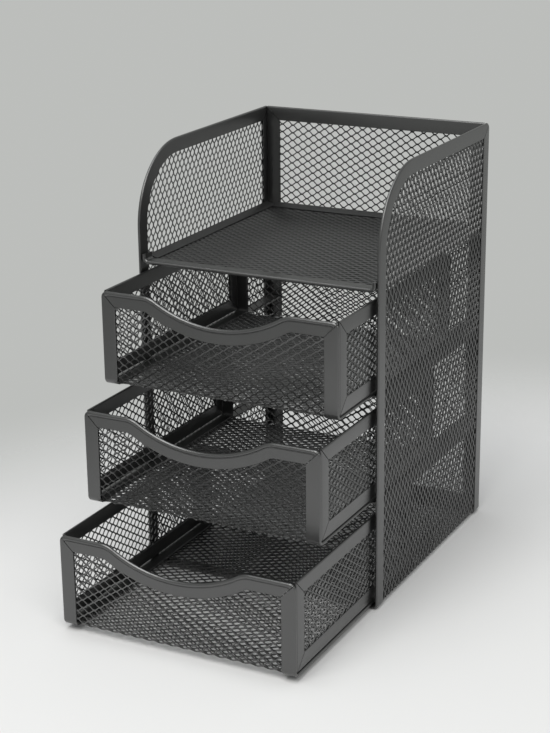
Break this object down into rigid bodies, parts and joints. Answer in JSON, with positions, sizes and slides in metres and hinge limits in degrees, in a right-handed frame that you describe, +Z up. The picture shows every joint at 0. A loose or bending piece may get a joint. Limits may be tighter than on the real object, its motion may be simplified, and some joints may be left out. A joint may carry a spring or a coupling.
{
  "type": "desk organizer with drawers",
  "caption": "Free-standing desk organizer of black expanded steel mesh: an open bin on top of sliding drawers, each with a finger dip in its front.",
  "frame": {"origin": "middle of the cabinet's front lower edge, on the surface it stands on", "axes": "+Z up, +Y from the drawer fronts to the back panel, +X to the right of someone facing the drawers"},
  "size_m": [0.15, 0.2565, 0.25],
  "materials": {
    "mesh": "satin black powder coat on expanded steel mesh",
    "edge_strip": "satin black powder coat on folded sheet steel",
    "runner": "satin black powder coat on sheet steel"
  },
  "bodies": {
    "cabinet": {"shell_mesh": "mesh", "shell_front_rim": "edge_strip", "shell_back_rim": "edge_strip", "back_mesh": "mesh", "back_frame": "edge_strip", "shelf_mesh": "mesh", "shelf_front_rim": "edge_strip", "shelf_flange_left": "edge_strip", "shelf_flange_right": "edge_strip", "shelf_back_flange": "edge_strip", "middle_runner_left": "runner", "middle_runner_right": "runner", "top_runner_left": "runner", "top_runner_right": "runner"},
    "bottom_drawer": {"bottom_tray_mesh": "mesh", "bottom_trim_left": "edge_strip", "bottom_trim_right": "edge_strip", "bottom_front_rim": "edge_strip", "bottom_back_rim": "edge_strip", "bottom_side_mesh_left": "mesh", "bottom_side_mesh_right": "mesh", "bottom_side_frame_left": "edge_strip", "bottom_side_frame_right": "edge_strip"},
    "middle_drawer": {"middle_tray_mesh": "mesh", "middle_trim_left": "edge_strip", "middle_trim_right": "edge_strip", "middle_front_rim": "edge_strip", "middle_back_rim": "edge_strip", "middle_side_mesh_left": "mesh", "middle_side_mesh_right": "mesh", "middle_side_frame_left": "edge_strip", "middle_side_frame_right": "edge_strip"},
    "top_drawer": {"top_tray_mesh": "mesh", "top_trim_left": "edge_strip", "top_trim_right": "edge_strip", "top_front_rim": "edge_strip", "top_back_rim": "edge_strip", "top_side_mesh_left": "mesh", "top_side_mesh_right": "mesh", "top_side_frame_left": "edge_strip", "top_side_frame_right": "edge_strip"}
  },
  "joints": [
    {"name": "bottom_drawer_slide", "type": "slide", "parent": "cabinet", "child": "bottom_drawer", "axis": [0, -1, 0], "range_m": [-0.0965, 0.0235]},
    {"name": "middle_drawer_slide", "type": "slide", "parent": "cabinet", "child": "middle_drawer", "axis": [0, -1, 0], "range_m": [-0.067, 0.053]},
    {"name": "top_drawer_slide", "type": "slide", "parent": "cabinet", "child": "top_drawer", "axis": [0, -1, 0], "range_m": [-0.045, 0.075]}
  ]
}
